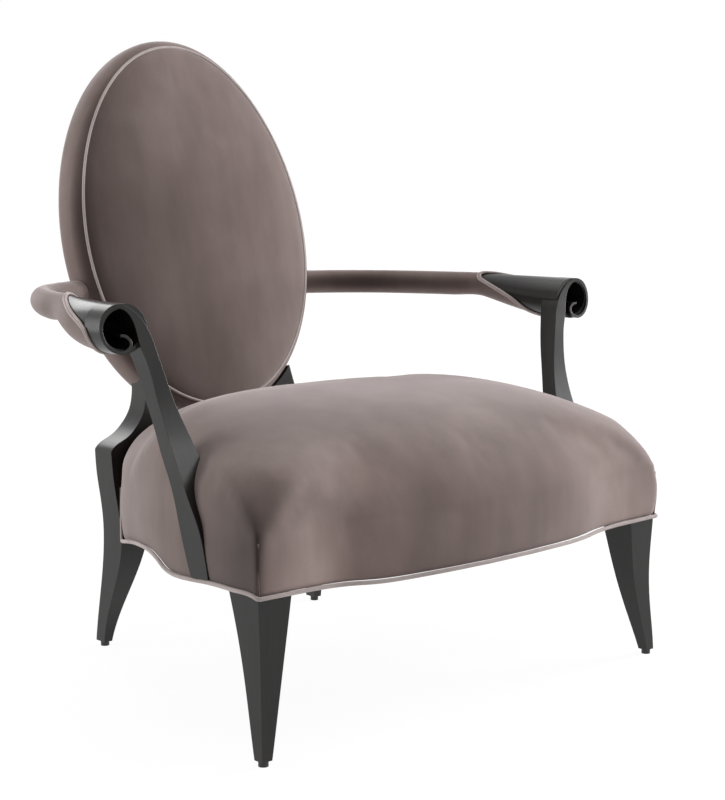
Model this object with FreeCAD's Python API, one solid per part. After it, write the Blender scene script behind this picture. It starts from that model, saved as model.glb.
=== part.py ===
"""Upholstered lounge armchair: oval padded back, crowned tight seat, padded arms that end in carved scrolls.

Millimetres. X runs to the sitter's left, Y to the back, Z up. The pieces are first placed with Y measured
from the rear glides, then all of them move together so that the origin lies under the middle of the chair.
"""
import FreeCAD, Part
import math
import os

os.makedirs("parts", exist_ok=True)

V = FreeCAD.Vector

# Clearances
soft_gap = 0.3
joint_gap = 0.15
overrun = 60.0
room = 1200.0

# Glides under the feet
glide_radius = 7.5
glide_height = 8.0
nail_radius = 1.6
nail_head_radius = 3.6
nail_head_height = 1.5
nail_length = 18.0

# Front legs: square at the seat, thin sabre at the foot
front_leg_x = 436.0
front_leg_y = -678.0
front_leg_top = 242.0
front_leg_width = 60.5
front_leg_depth = 66.0
front_foot_width = 18.0
front_foot_depth = 18.0
front_foot_kick = 6.5
front_leg_sweep = 5.0
front_leg_inset = 6.0
# share of the height, of the width taper, of the depth taper and of the sweep at each section
front_leg_shares = (
    (0.0, 0.0, 0.0, 0.0),
    (0.22, 0.22, 0.19, 0.45),
    (0.53, 0.52, 0.46, 1.0),
    (0.84, 0.84, 0.79, 0.45),
    (1.0, 1.0, 1.0, 0.0),
)

# Rear legs: one piece from the foot to the oval back
rear_leg_x = 252.0
rear_leg_width = 62.0
rear_foot_width = 16.0
rear_knee_height = 352.0
stile_top_height = 500.0
stile_top_x = 165.0
stile_width = 41.0
rear_leg_reach = 70.0
# share of the knee height, and of the forward reach, along the front edge
rear_front_shares = ((0.0, 0.15), (0.25, 0.53), (0.42, 0.87), (0.55, 1.0), (0.72, 0.87), (0.84, 0.72), (1.0, 0.61))
# share of the knee height, and of the forward reach, along the rear edge
rear_back_shares = ((0.0, -0.22), (0.29, 0.04), (0.52, 0.2), (0.65, 0.19), (0.77, 0.08), (0.87, -0.04), (1.0, -0.11))
# share of the stile's rise above the knee, and of its inward lean, along the outer edge
stile_lean_shares = ((0.0, 0.0), (0.06, 0.1), (0.14, 0.38), (0.28, 0.68), (0.42, 0.85), (0.56, 0.93), (1.0, 1.0))

# Seat outline at the apron
seat_half_width = 439.0
seat_front_y = -682.0
seat_bow = 24.0
seat_side_y = -512.0
seat_side_x = 424.0
seat_bend_y = -290.0
seat_bend_x = 368.0
seat_rear_y = -14.0
seat_rear_x = 204.0
bow_inner_share = 0.54
bow_outer_share = 0.745
bow_shoulder_share = 0.58
bow_foot_share = 0.1
bow_sag_share = 0.06
corner_share = 0.022
apron_height = 243.0
apron_drop = 53.0
# share of the seat's length from front to rear, and of the apron's drop, along the lower edge
apron_shares = (
    (-0.06, 0.22), (-0.036, 0.17), (0.0, 0.0), (0.1, -0.02), (0.19, 0.02), (0.263, 0.1), (0.312, 0.152),
    (0.36, 0.165), (0.4, 0.1), (0.433, -0.03), (0.485, -0.15), (0.53, -0.16), (0.565, -0.127), (0.624, -0.03),
    (0.697, 0.15), (0.767, 0.35), (0.841, 0.56), (0.916, 0.83), (1.0, 1.0),
)

# Seat crown above the apron
shoulder_height = 334.0
crown_height = 481.0
seat_bulge = 3.0
seat_bulge_height = 286.0
crown_side_run = 300.0
crown_front_run = 300.0
crown_rear_run = 365.0
crown_bow_share = 0.8
# share of the crown's rise, then how far the sides, the front and the rear have drawn in, and the corners' rounding
crown_shares = (
    (0.0, 0.0, 0.0, 0.0, 0.03),
    (0.14, 0.01, 0.013, 0.0, 0.06),
    (0.29, 0.03, 0.037, 0.0, 0.1),
    (0.45, 0.067, 0.08, 0.006, 0.15),
    (0.585, 0.103, 0.133, 0.07, 0.2),
    (0.72, 0.16, 0.207, 0.205, 0.26),
    (0.823, 0.233, 0.3, 0.37, 0.33),
    (0.898, 0.333, 0.417, 0.534, 0.4),
    (0.952, 0.493, 0.573, 0.7, 0.47),
    (0.986, 0.68, 0.72, 0.8, 0.52),
    (1.0, 0.85, 0.85, 0.88, 0.56),
)
cloth = 2.0
welt_size = 8.0
welt_proud = 4.0

# Seat frame
rail_thickness = 34.0
rail_setback = 8.0
rail_top = 316.0
rail_lift = 7.0
rail_joint_setback = 22.0
web_thickness = 1.6
web_width = 48.0
web_first_y = -610.0
web_pitch_y = 92.0
web_count_across = 6
web_pitch_x = 84.0
hessian_thickness = 1.0
dust_thickness = 1.0
dust_setback = 6.0
block_leg = 95.0
block_spread = 40.0
block_height = 42.0
block_drop = 12.0
screw_radius = 2.5
screw_length = 42.0
screw_head_radius = 5.0
screw_head_height = 3.0
screw_grip = 22.0
dowel_radius = 5.0
dowel_length = 44.0
dowel_drop = 18.0
front_dowel_pitch = 26.0
rear_dowel_pitch = 45.0
side_dowel_drop = 24.0
rear_joint_x = 205.0
rear_joint_y = -60.0

# Arm posts with their scrolls
post_bottom = 239.0
post_outer_x = 430.0
post_width = 44.0
post_lap = 18.0
post_lap_top = 322.0
scroll_x = 496.0
scroll_z = 604.5
scroll_radius = 36.2
scroll_front_y = -447.0
roll_wall = 7.0
roll_hollow_depth = 85.0
post_rake = 109.0
post_depth = 40.0
# share of the rise from the post's bottom to the scroll's centre, and of the post width, along the outer edge
post_outer_shares = ((0.0, 0.0), (0.13, 0.07), (0.24, 0.14), (0.38, 0.2), (0.47, 0.23), (0.55, 0.255),
                     (0.62, 0.3), (0.7, 0.375), (0.79, 0.48), (0.87, 0.63), (0.93, 0.8))
# the same for the inner edge, from the top down
post_inner_shares = ((0.9, 0.16), (0.82, -0.02), (0.7, -0.28), (0.58, -0.57), (0.46, -0.79), (0.38, -0.84),
                     (0.2, -0.91), (0.0, -1.0))
# outer face of the ribbon around the scroll, in scroll radii from its centre
ribbon_outer_shares = ((-1.5, -0.52), (-1.3, -0.07), (-1.05, 0.32), (-0.61, 0.73), (0.03, 1.0), (0.69, 0.76),
                       (1.0, 0.07), (0.8, -0.6), (0.17, -0.99), (-0.3, -0.9), (-0.5, -0.58), (-0.33, -0.3), (0.04, -0.22))
# inner face of the ribbon, back from the curl's tip to the post
ribbon_inner_shares = ((0.03, -0.32), (-0.24, -0.39), (-0.37, -0.6), (-0.22, -0.79), (0.17, -0.86), (0.68, -0.54),
                       (0.84, 0.07), (0.56, 0.64), (0.03, 0.82), (-0.33, 0.66), (-0.58, 0.33), (-0.72, -0.05))
# share of the rise, and of the rake, along the post's front and rear edges, from the bottom up
post_front_shares = ((0.0, 1.0), (0.13, 0.94), (0.23, 0.85), (0.315, 0.7), (0.395, 0.565), (0.467, 0.45),
                     (0.546, 0.325), (0.625, 0.22), (0.7, 0.14), (0.824, 0.055), (0.906, 0.005), (1.0, -0.04), (1.11, -0.05))
post_back_shares = ((0.0, 0.0), (0.17, -0.17), (0.38, -0.35), (0.495, -0.53), (0.61, -0.67), (0.73, -0.81),
                    (0.86, -0.93), (1.0, -1.02), (1.11, -1.05))

# Padded arms: a tube from the side of the oval to the scroll
arm_radius = 20.5
arm_top = 643.0
arm_core_radius = 9.0
arm_start_x = 226.0
arm_start_y = 55.0
arm_reach_x = 236.0
arm_reach_y = 300.0
arm_screw_length = 50.0
# share of the reach sideways and forwards
arm_path_shares = ((0.0, 0.0), (0.153, 0.043), (0.39, 0.143), (0.61, 0.3), (0.792, 0.533), (0.924, 0.783), (1.0, 1.0))
# share of the length of the widening end, and of its growth
arm_cone_shares = ((0.0, 0.0), (0.13, 0.2), (0.333, 0.53), (0.538, 0.8), (0.795, 0.97), (1.0, 1.0))
roll_stretch = 1.16
core_end_y = -300.0
arm_welt_proud = 2.0
arm_welt_width = 4.0
# the slanted end of the pad on the wood: top, outer and lower inner points
joint_top_y = -248.0
joint_outer_y = -340.0
joint_tip_y = -388.0

# Oval back
back_y = 38.0
back_height = 738.0
back_half_width = 242.0
back_half_height = 330.0
back_egg = -0.052
back_tilt = 13.3
back_depth = 70.0
back_bulge = 20.0
back_dome = 26.0
back_rear_dome = 6.0
# share of the depth behind the front piping, and of the edge's bulge
band_shares = ((0.0, 0.0), (0.07, 0.5), (0.22, 0.88), (0.5, 1.0), (0.78, 0.88), (0.93, 0.5), (1.0, 0.0))
# share of the dome's rise, and of the half width that it has drawn in
dome_shares = ((0.42, 0.09), (0.72, 0.28), (0.92, 0.55), (1.0, 0.8))
oval_arcs = 8
frame_outer = 16.0
frame_inner = -32.0
frame_front = 18.0
frame_depth = 36.0
back_web_width = 50.0
back_web_pitch = 120.0
back_panel_thickness = 3.0
back_welt_radius = 2.8
back_welt_flat = 1.2
bolt_radius = 4.0
bolt_head_radius = 7.0
bolt_head_height = 5.0
bolt_length = 98.0
bolt_depth = 36.0
bolt_rise = -225.0
post_bolt_radius = 3.5
post_bolt_head_radius = 7.0
post_bolt_length = 44.0
post_bolt_y = -526.0
post_bolt_low = 272.0
post_bolt_pitch = 28.0

up = V(0, 0, 1)
across = V(1, 0, 0)
along = V(0, 1, 0)


def spline(points):
    curve = Part.BSplineCurve()
    curve.interpolate([V(*point) for point in points])
    return curve.toShape()


def polyline(points):
    return Part.makePolygon([V(*point) for point in points])


def face_of(*edges):
    return Part.Face(Part.Wire(Part.__sortEdges__([edge for item in edges for edge in item.Edges])))


def side_prism(front, back, half_width=overrun * 10):
    """A solid that runs across the chair, between a front and a rear edge given as (y, z), bottom up."""
    front_edge = spline([(-half_width, y, z) for y, z in front])
    back_edge = spline([(-half_width, y, z) for y, z in back])
    low = polyline([(-half_width, *front[0]), (-half_width, *back[0])])
    high = polyline([(-half_width, *front[-1]), (-half_width, *back[-1])])
    return face_of(front_edge, back_edge, low, high).extrude(across * (half_width * 2))


def mirrored(shape):
    return shape.mirror(V(0, 0, 0), across)


def largest(shape):
    """The main solid of a cut, without slivers."""
    return max(shape.Solids, key=lambda solid: solid.Volume)


def box(low, high):
    return Part.makeBox(high[0] - low[0], high[1] - low[1], high[2] - low[2], V(*low))


def both_sides(shapes):
    return shapes + [mirrored(shape) for shape in shapes]


def group(shapes):
    return Part.makeCompound([solid for shape in shapes for solid in shape.Solids])


def moved(shape, offset):
    copy = shape.copy()
    copy.translate(offset)
    return copy


def clear_of(shape, tools, gap):
    """The shape cut back from each tool by a gap, sideways and lengthways."""
    offsets = [across * gap, across * -gap, along * gap, along * -gap]
    return shape.cut([moved(tool, offset) for tool in tools for offset in offsets])


def headed(base, direction, radius, length, head_radius, head_height, gap=0, above=0):
    """A screw or bolt whose head sits on base; above leaves an open way to the head."""
    start = base - direction * (head_height + above)
    head = Part.makeCylinder(head_radius + gap, head_height + above, start, direction)
    shank = Part.makeCylinder(radius + gap, length, base - direction * (head_height / 2), direction)
    return head.fuse(shank).removeSplitter()


# Glides and front legs

def glide(x, y):
    disc = Part.makeCylinder(glide_radius, glide_height, V(x, y, 0))
    recess = Part.makeCylinder(nail_head_radius + joint_gap, nail_head_height * 2, V(x, y, 0))
    hole = Part.makeCylinder(nail_radius + joint_gap, glide_height, V(x, y, 0))
    return disc.cut(recess).cut(hole)


def nail(x, y, gap=0):
    base = nail_head_height
    head = Part.makeCylinder(nail_head_radius + gap, nail_head_height, V(x, y, base))
    shank = Part.makeCylinder(nail_radius + gap, nail_length, V(x, y, base + nail_head_height))
    return head.fuse(shank)


def leg_rectangle(x, y, width, depth, z):
    """A rectangle whose outer front corner is at x, y; it runs inwards and back from there."""
    return polyline([(x, y, z), (x - width, y, z), (x - width, y + depth, z), (x, y + depth, z), (x, y, z)])


def front_leg():
    wires = []
    for height, wide, deep, sweep in front_leg_shares:
        z = glide_height + height * (front_leg_top - glide_height)
        width = front_foot_width + wide * (front_leg_width - front_foot_width)
        depth = front_foot_depth + deep * (front_leg_depth - front_foot_depth)
        x = front_leg_x - sweep * front_leg_sweep
        y = front_leg_y - (1 - height) * front_foot_kick + sweep * front_leg_sweep
        wires.append(leg_rectangle(x, y, width, depth, z))
    leg = Part.makeLoft(wires, True, False)
    corner = V(front_leg_x - front_leg_inset - front_leg_width, front_leg_y + front_leg_inset, front_leg_top)
    block = Part.makeBox(front_leg_width, front_leg_depth, rail_top - front_leg_top, corner)
    return leg.fuse(block).removeSplitter()


front_glide_x = front_leg_x - front_foot_width / 2
front_glide_y = front_leg_y - front_foot_kick + front_foot_depth / 2


# Rear legs

def rear_leg():
    rise = rear_knee_height - glide_height
    front = [(-share * rear_leg_reach, glide_height + height * rise) for height, share in rear_front_shares]
    back = [(-share * rear_leg_reach, glide_height + height * rise) for height, share in rear_back_shares]
    lean = math.tan(math.radians(back_tilt))
    above = stile_top_height - rear_knee_height
    front.append((front[-1][0] + above * lean, stile_top_height))
    back.append((back[-1][0] + above * lean / 2, stile_top_height))
    side = side_prism(front, back)
    outer = [(rear_leg_x - share * (rear_leg_x - stile_top_x), rear_knee_height + height * above)
             for height, share in stile_lean_shares]
    inner_x = rear_leg_x - rear_leg_width
    stile_inner_x = stile_top_x - stile_width
    inner = [(inner_x, apron_height), (inner_x, rear_knee_height - rear_leg_width / 2),
             (stile_inner_x, (rear_knee_height + stile_top_height) / 2), (stile_inner_x, stile_top_height)]
    near = -overrun * 3
    edges = [
        polyline([(rear_leg_x, near, glide_height), (rear_leg_x, near, rear_knee_height)]),
        spline([(x, near, z) for x, z in outer]),
        polyline([(stile_top_x, near, stile_top_height), (stile_inner_x, near, stile_top_height)]),
        polyline([(x, near, z) for x, z in reversed(inner)]),
        polyline([(inner_x, near, apron_height), (rear_leg_x - rear_foot_width, near, glide_height),
                  (rear_leg_x, near, glide_height)]),
    ]
    outline = face_of(*edges).extrude(along * (overrun * 6))
    return outline.common(side)


rear_glide_x = rear_leg_x - rear_foot_width / 2
rear_glide_y = 0


# Seat outline, apron line and crowned body

def arc(start, middle, end):
    return Part.Arc(V(*start), V(*middle), V(*end)).toShape()


def seat_wire(z, inset=0, side=0, front=0, rear=0, rounding=corner_share, bow=seat_bow):
    """The plan outline at height z, drawn in by inset all round and by its own amounts at the sides and ends."""
    front_y = seat_front_y + inset + front
    rear_y = seat_rear_y - inset - rear
    half = seat_half_width - inset - side
    side_x = seat_side_x - inset - side
    bend_x = seat_bend_x - inset - side * (seat_bend_x / seat_side_x)
    rear_x = seat_rear_x - inset - side * (seat_rear_x / seat_side_x)
    corner = half * rounding
    near_y = front_y + corner
    stretch = (rear_y - near_y) / (seat_rear_y - seat_front_y)
    side_y = near_y + (seat_side_y - seat_front_y) * stretch
    bend_y = near_y + (seat_bend_y - seat_front_y) * stretch
    turn = 1 - math.sqrt(0.5)
    lip_x = half - corner
    outer = (lip_x * bow_outer_share, front_y - bow * bow_foot_share)
    inner = (lip_x * bow_inner_share, front_y - bow * bow_shoulder_share)
    middle = ((outer[0] + inner[0]) / 2, front_y - bow * (bow_foot_share + bow_shoulder_share) / 2 + bow * bow_sag_share)
    heel = rear_x * rounding
    heel_x = rear_x - heel
    right = [
        ((lip_x, front_y), outer, None),
        (outer, inner, middle),
        ((half, near_y), (lip_x, front_y), (half - corner * turn, front_y + corner * turn)),
        ((half, near_y), (side_x, side_y), None),
        ((side_x, side_y), (rear_x, rear_y - heel), (bend_x, bend_y)),
        ((rear_x, rear_y - heel), (heel_x, rear_y), (rear_x - heel * turn, rear_y - heel * turn)),
    ]
    edges = []
    for sign in (1, -1):
        for start, end, via in right:
            first = V(sign * start[0], start[1], z)
            last = V(sign * end[0], end[1], z)
            if via is None:
                edges.append(Part.makeLine(first, last))
            else:
                edges.append(Part.Arc(first, V(sign * via[0], via[1], z), last).toShape())
    edges.append(arc((inner[0], inner[1], z), (0, front_y - bow, z), (-inner[0], inner[1], z)))
    edges.append(Part.makeLine(V(heel_x, rear_y, z), V(-heel_x, rear_y, z)))
    return Part.Wire(Part.__sortEdges__(edges))


def seat_prism(inset, low, high):
    return Part.Face(seat_wire(low, inset)).extrude(up * (high - low))


def apron_points(offset):
    length = seat_rear_y - seat_front_y
    points = [(seat_front_y + place * length, apron_height - drop * apron_drop + offset) for place, drop in apron_shares]
    points.append((seat_rear_y + overrun, points[-1][1]))
    return points


def apron_band(low, high):
    """A wavy slab across the chair, between the lower edge moved by low and by high."""
    half_width = room / 2
    edges = []
    ends = []
    for offset in (low, high):
        points = [(-half_width, y, z) for y, z in apron_points(offset)]
        edges.append(spline(points))
        ends.append((points[0], points[-1]))
    edges.append(polyline([ends[0][0], ends[1][0]]))
    edges.append(polyline([ends[0][1], ends[1][1]]))
    return face_of(*edges).extrude(across * (half_width * 2))


def below_apron(offset):
    """Everything under the wavy lower edge, raised by offset."""
    return apron_band(-apron_height, offset)


def seat_body(inset):
    """The crowned seat, drawn in by inset on every side and on top."""
    low = apron_height - apron_drop - overrun / 4
    wires = [
        seat_wire(low, inset),
        seat_wire(apron_height + welt_size / 2, inset),
        seat_wire(seat_bulge_height, inset, -seat_bulge, -seat_bulge),
    ]
    rise = crown_height - inset - shoulder_height
    for height, side, front, rear, rounding in crown_shares:
        wires.append(seat_wire(
            shoulder_height + height * rise,
            inset,
            side * crown_side_run,
            front * crown_front_run,
            rear * crown_rear_run,
            rounding,
            seat_bow * (1 - height * crown_bow_share),
        ))
    return Part.makeLoft(wires, True, True)


# Oval back

tilt = math.radians(back_tilt)
back_centre = V(0, back_y, back_height)
back_up = V(0, math.sin(tilt), math.cos(tilt))
back_normal = V(0, math.cos(tilt), -math.sin(tilt))


def oval_point(angle, grow, depth, scale=1):
    x = (back_half_width + grow) * scale * math.cos(angle) * (1 + back_egg * math.sin(angle))
    rise = (back_half_height + grow) * scale * math.sin(angle)
    return back_centre + across * x + back_up * rise + back_normal * depth


def oval_wire(grow, depth, scale=1):
    step = math.pi / oval_arcs
    edges = []
    for index in range(oval_arcs):
        angles = [(index * 2 + offset) * step for offset in (0, 1, 2)]
        edges.append(Part.Arc(*[oval_point(angle, grow, depth, scale) for angle in angles]).toShape())
    return Part.Wire(edges)


def oval_prism(grow, front, back):
    return Part.Face(oval_wire(grow, front)).extrude(back_normal * (back - front))


def oval_ring(outer, inner, front, back):
    return oval_prism(outer, front, back).cut(oval_prism(inner, front - overrun, back + overrun))


def back_body(inset):
    """The padded oval, drawn in by inset on every side."""
    depth = back_depth - inset * 2
    wires = []
    for rise, drawn in reversed(dome_shares):
        wires.append(oval_wire(-inset, inset - rise * back_dome, 1 - drawn))
    for place, bulge in band_shares:
        wires.append(oval_wire(bulge * back_bulge - inset, inset + place * depth))
    for rise, drawn in dome_shares:
        wires.append(oval_wire(-inset, inset + depth + rise * back_rear_dome, 1 - drawn))
    return Part.makeLoft(wires, True, True)


def back_slab(half_width, low, high, front, back):
    """A box in the tilted frame of the back, from low to high along its slope."""
    slab = Part.makeBox(half_width * 2, back - front, high - low, V(-half_width, front, low))
    slab.Placement = FreeCAD.Placement(back_centre, FreeCAD.Rotation(across, -back_tilt))
    return slab


def between_depths(front, back):
    return back_slab(room / 2, -room / 2, room / 2, front, back)


def oval_welt(depth, gap=0):
    """A cord around the oval with its corners taken off."""
    radius = back_welt_radius + gap
    flat = back_welt_flat + gap
    outer = [(flat, -radius), (radius, -flat), (radius, flat), (flat, radius)]
    outside = Part.makeLoft([oval_wire(grow, depth + place) for grow, place in outer], True, True)
    inside = Part.makeLoft([oval_wire(-grow, depth + place) for grow, place in outer], True, True)
    return outside.cut(inside)


# Arms

def ring_wire(centre, direction, radius_x, radius_z):
    """Four arcs around a centre, square to a level direction."""
    side = up.cross(direction).normalize()
    points = []
    for index in range(8):
        angle = math.radians(45 * index)
        points.append(centre + side * (radius_x * math.cos(angle)) + up * (radius_z * math.sin(angle)))
    edges = [Part.Arc(points[i], points[i + 1], points[(i + 2) % 8]).toShape() for i in (0, 2, 4, 6)]
    return Part.Wire(edges)


def arm_curve():
    """The middle line of the padded arm, from inside the oval to where it starts to widen."""
    points = []
    for sideways, forwards in arm_path_shares:
        x = arm_start_x + sideways * arm_reach_x
        y = arm_start_y - forwards * arm_reach_y
        points.append(V(x, y, arm_top - arm_radius))
    curve = Part.BSplineCurve()
    curve.interpolate(Points=points, InitialTangent=points[1] - points[0], FinalTangent=V(0, -arm_reach_y, 0))
    return curve


def arm_rod(radius):
    """A round rod along the whole middle line."""
    curve = arm_curve()
    start = curve.value(curve.FirstParameter)
    direction = curve.tangent(curve.FirstParameter)[0]
    ring = ring_wire(start, direction, radius, radius)
    return Part.Wire(curve.toShape()).makePipeShell([ring], True, False)


def arm_cone(shrink):
    """The widening end of the arm, up to the front of the scroll."""
    start_y = arm_start_y - arm_reach_y
    end_y = scroll_front_y + roll_wall
    start_x = arm_start_x + arm_reach_x
    end_x = scroll_x + scroll_radius - scroll_radius * roll_stretch
    wires = []
    for place, growth in arm_cone_shares:
        centre = V(
            start_x + growth * (end_x - start_x),
            start_y + place * (end_y - start_y),
            arm_top - arm_radius + growth * (scroll_z - arm_top + arm_radius),
        )
        wide = arm_radius + growth * (scroll_radius * roll_stretch - arm_radius)
        high = arm_radius + growth * (scroll_radius - arm_radius)
        wires.append(ring_wire(centre, V(0, -1, 0), wide - shrink, high - shrink))
    return Part.makeLoft(wires, True, False)


def arm_tube(shrink):
    """The whole arm, from inside the oval to the front of the scroll, thinner by shrink."""
    return arm_rod(arm_radius - shrink).fuse(arm_cone(shrink)).removeSplitter()


def behind_joint(gap):
    """Everything on the padded side of the slanted line where the cloth meets the wood."""
    top = V(arm_start_x + arm_reach_x, joint_top_y + gap, arm_top)
    outer = V(scroll_x + scroll_radius / 3, joint_outer_y + gap, scroll_z + arm_radius / 3)
    tip = V(scroll_x - scroll_radius * 1.3, joint_tip_y + gap, scroll_z - scroll_radius * 1.27)
    normal = (outer - top).cross(tip - top).normalize()
    if normal.y < 0:
        normal = normal * -1
    block = box((-room / 2, -room / 2, 0), (room / 2, room / 2, room))
    block.Placement = FreeCAD.Placement(top, FreeCAD.Rotation(up, normal))
    return block


def arm_post():
    rise = scroll_z - post_bottom
    ribbon_outer = [(scroll_x + x * scroll_radius, scroll_z + z * scroll_radius) for x, z in ribbon_outer_shares]
    ribbon_inner = [(scroll_x + x * scroll_radius, scroll_z + z * scroll_radius) for x, z in ribbon_inner_shares]
    outer = [(post_outer_x + x * post_width, post_bottom + z * rise) for z, x in post_outer_shares]
    inner = [(post_outer_x + x * post_width, post_bottom + z * rise) for z, x in post_inner_shares]
    y = scroll_front_y - post_rake - overrun
    inside = spline([(x, y, z) for x, z in list(reversed(inner)) + ribbon_outer])
    outside = spline([(x, y, z) for x, z in ribbon_inner + list(reversed(outer))])
    tip = polyline([(ribbon_outer[-1][0], y, ribbon_outer[-1][1]), (ribbon_inner[0][0], y, ribbon_inner[0][1])])
    foot = polyline([(outer[0][0], y, outer[0][1]), (inner[-1][0], y, inner[-1][1])])
    profile = face_of(inside, tip, outside, foot).extrude(along * (post_rake * 2 + overrun * 3))
    bottom_y = scroll_front_y - post_rake
    front = [(scroll_front_y - share * post_rake, post_bottom + z * rise) for z, share in post_front_shares]
    back_reach = post_rake
    back = [(bottom_y + post_depth - share * back_reach, post_bottom + z * rise) for z, share in post_back_shares]
    return profile.common(side_prism(front, back))


# Arms with their posts

def lapped_post():
    """The post with its ribbon; its foot is lapped into the side rail."""
    foot_inside = box((0, -room, 0), (post_outer_x - post_lap, room, post_lap_top))
    return largest(arm_post().cut(foot_inside).cut(below_apron(welt_size / 2 + joint_gap)))


def left_post(post):
    """The post joined to its hollow roll."""
    roll = arm_cone(0).cut(behind_joint(0))
    hollow_end = scroll_front_y + roll_hollow_depth
    hollow = arm_cone(roll_wall).common(box((0, -room, 0), (room, hollow_end, room)))
    return largest(post.fuse(roll.cut(hollow)).removeSplitter())


back_solid = back_body(0)
back_clearance = back_body(-soft_gap)
post = lapped_post()
post_left = left_post(post)
padded_side = behind_joint(soft_gap)
arm_outer = arm_tube(0)
arm_inner = arm_tube(cloth)
arm_inside = arm_tube(cloth + soft_gap)
core = arm_rod(arm_core_radius).fuse(
    Part.makeCylinder(arm_core_radius, arm_start_y - arm_reach_y - core_end_y,
                      V(arm_start_x + arm_reach_x, core_end_y, arm_top - arm_radius), along)).removeSplitter()
core_space = arm_rod(arm_core_radius + soft_gap).fuse(
    Part.makeCylinder(arm_core_radius + soft_gap, arm_start_y - arm_reach_y - core_end_y + joint_gap,
                      V(arm_start_x + arm_reach_x, core_end_y - joint_gap, arm_top - arm_radius), along)).removeSplitter()
ring_space = oval_prism(frame_outer + joint_gap, -overrun, back_depth + overrun)
post_left = largest(post_left.cut(core_space))
arm_screw_start = arm_curve().value(arm_curve().FirstParameter)
arm_screw_way = arm_curve().tangent(arm_curve().FirstParameter)[0]
arm_screw = headed(arm_screw_start, arm_screw_way, screw_radius, arm_screw_length, screw_head_radius, screw_head_height)
arm_screw_space = headed(arm_screw_start, arm_screw_way, screw_radius, arm_screw_length, screw_head_radius,
                         screw_head_height, joint_gap, overrun)
arm_core = largest(core.cut(ring_space).cut(arm_screw_space))
arm_foam = largest(arm_inside.common(padded_side).cut(back_clearance).cut(core_space))
arm_cover = largest(arm_outer.cut(arm_inner).common(padded_side).cut(back_clearance))
welt_front = behind_joint(-arm_welt_width / 2)
welt_back = behind_joint(arm_welt_width / 2)
arm_welt = arm_tube(-arm_welt_proud).cut(arm_tube(-soft_gap)).common(welt_front).cut(welt_back)
arm_welt = largest(arm_welt.cut(moved(post, along * soft_gap)))

# Legs, glides and nails

leg_places = ((front_glide_x, front_glide_y), (rear_glide_x, rear_glide_y))
front_leg_left = front_leg().cut(nail(*leg_places[0], joint_gap))
rear_leg_whole = rear_leg().cut(nail(*leg_places[1], joint_gap))
rear_leg_left = largest(rear_leg_whole.cut(ring_space))
foot_glides = group(both_sides([glide(x, y) for x, y in leg_places]))
glide_nails = group(both_sides([nail(x, y) for x, y in leg_places]))

# Seat frame

floor_level = apron_height - apron_drop - overrun / 4
post_stem = post.common(box((0, -room, 0), (room, 0, crown_height + overrun)))
uprights = [post_stem, rear_leg_left]
ring = seat_prism(rail_setback, floor_level, rail_top)
ring = ring.cut(seat_prism(rail_setback + rail_thickness, floor_level, rail_top)).cut(below_apron(rail_lift))
block_inner_x = front_leg_x - front_leg_inset - front_leg_width
block_rear_y = front_leg_y + front_leg_inset + front_leg_depth
leg_inner_x = rear_leg_x - rear_leg_width
front_corner = box((block_inner_x - joint_gap, -room, 0), (room, block_rear_y + joint_gap, room))
side_zone = box((leg_inner_x, block_rear_y + joint_gap, 0), (room, rear_joint_y - joint_gap, room))
front_zone_x = block_inner_x - joint_gap
front_zone = box((-front_zone_x, -room, 0), (front_zone_x, block_rear_y, room))
rear_zone_x = leg_inner_x - joint_gap
rear_zone = box((-rear_zone_x, rear_joint_y + joint_gap, 0), (rear_zone_x, 0, room))


def dowels(gap):
    rods = []
    side = seat_half_width - rail_setback - rail_thickness / 2
    side_front_x = side - (seat_half_width - seat_side_x) * (block_rear_y - seat_front_y) / (seat_side_y - seat_front_y)
    front_y = seat_front_y + rail_setback + rail_thickness / 2
    rear_y = seat_rear_y - rail_setback - rail_thickness / 2
    radius = dowel_radius + gap
    half = dowel_length / 2 + gap
    for pitch, joints in (
        (front_dowel_pitch, ((V(block_inner_x, front_y, 0), across), (V(side_front_x, block_rear_y, 0), along))),
        (rear_dowel_pitch, ((V(leg_inner_x, rear_y, 0), across),
                            (V(rear_joint_x, rear_joint_y, -side_dowel_drop), along))),
    ):
        for place, direction in joints:
            for z in (rail_top - dowel_drop, rail_top - dowel_drop - pitch):
                base = place + up * z - direction * half
                rods.append(Part.makeCylinder(radius, half * 2, base, direction))
    return rods


def corner_block(x, y, spread, run):
    """A glued block across a corner of the frame; run is its reach along the side rail."""
    corners = ((x - block_leg, y), (x + block_leg, y), (x + block_leg, y + run), (x + spread, y + run))
    top = rail_top - block_drop
    points = [(a, b, top - block_height) for a, b in corners]
    prism = Part.Face(polyline(points + points[:1])).extrude(up * block_height)
    return prism.common(seat_prism(rail_setback + rail_thickness + joint_gap, floor_level, rail_top))


def block_screws(gap=0, above=0):
    """For each corner on one side: a screw into the end rail and one into the leg."""
    z = rail_top - block_drop - block_height / 2
    inside = rail_setback + rail_thickness
    front_y = seat_front_y + inside + screw_grip
    rear_y = seat_rear_y - inside - screw_grip
    diagonal = screw_grip / math.sqrt(2)
    items = (
        (V(block_inner_x - block_spread + screw_grip / 2, front_y, z), V(0, -1, 0)),
        (V(block_inner_x - diagonal, block_rear_y + diagonal, z), V(1, -1, 0).normalize()),
        (V(leg_inner_x - block_spread, rear_y, z), V(0, 1, 0)),
        (V(leg_inner_x - diagonal, rear_joint_y - diagonal, z), V(1, 1, 0).normalize()),
    )
    return [headed(base, way, screw_radius, screw_length, screw_head_radius, screw_head_height, gap, above)
            for base, way in items]


def post_bolts(gap=0, above=0):
    inner_face = post_outer_x - post_bolt_length
    return [headed(V(inner_face, post_bolt_y, z), across, post_bolt_radius, post_bolt_length - post_lap / 3,
                   post_bolt_head_radius, screw_head_height, gap, above)
            for z in (post_bolt_low, post_bolt_low + post_bolt_pitch)]


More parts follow.
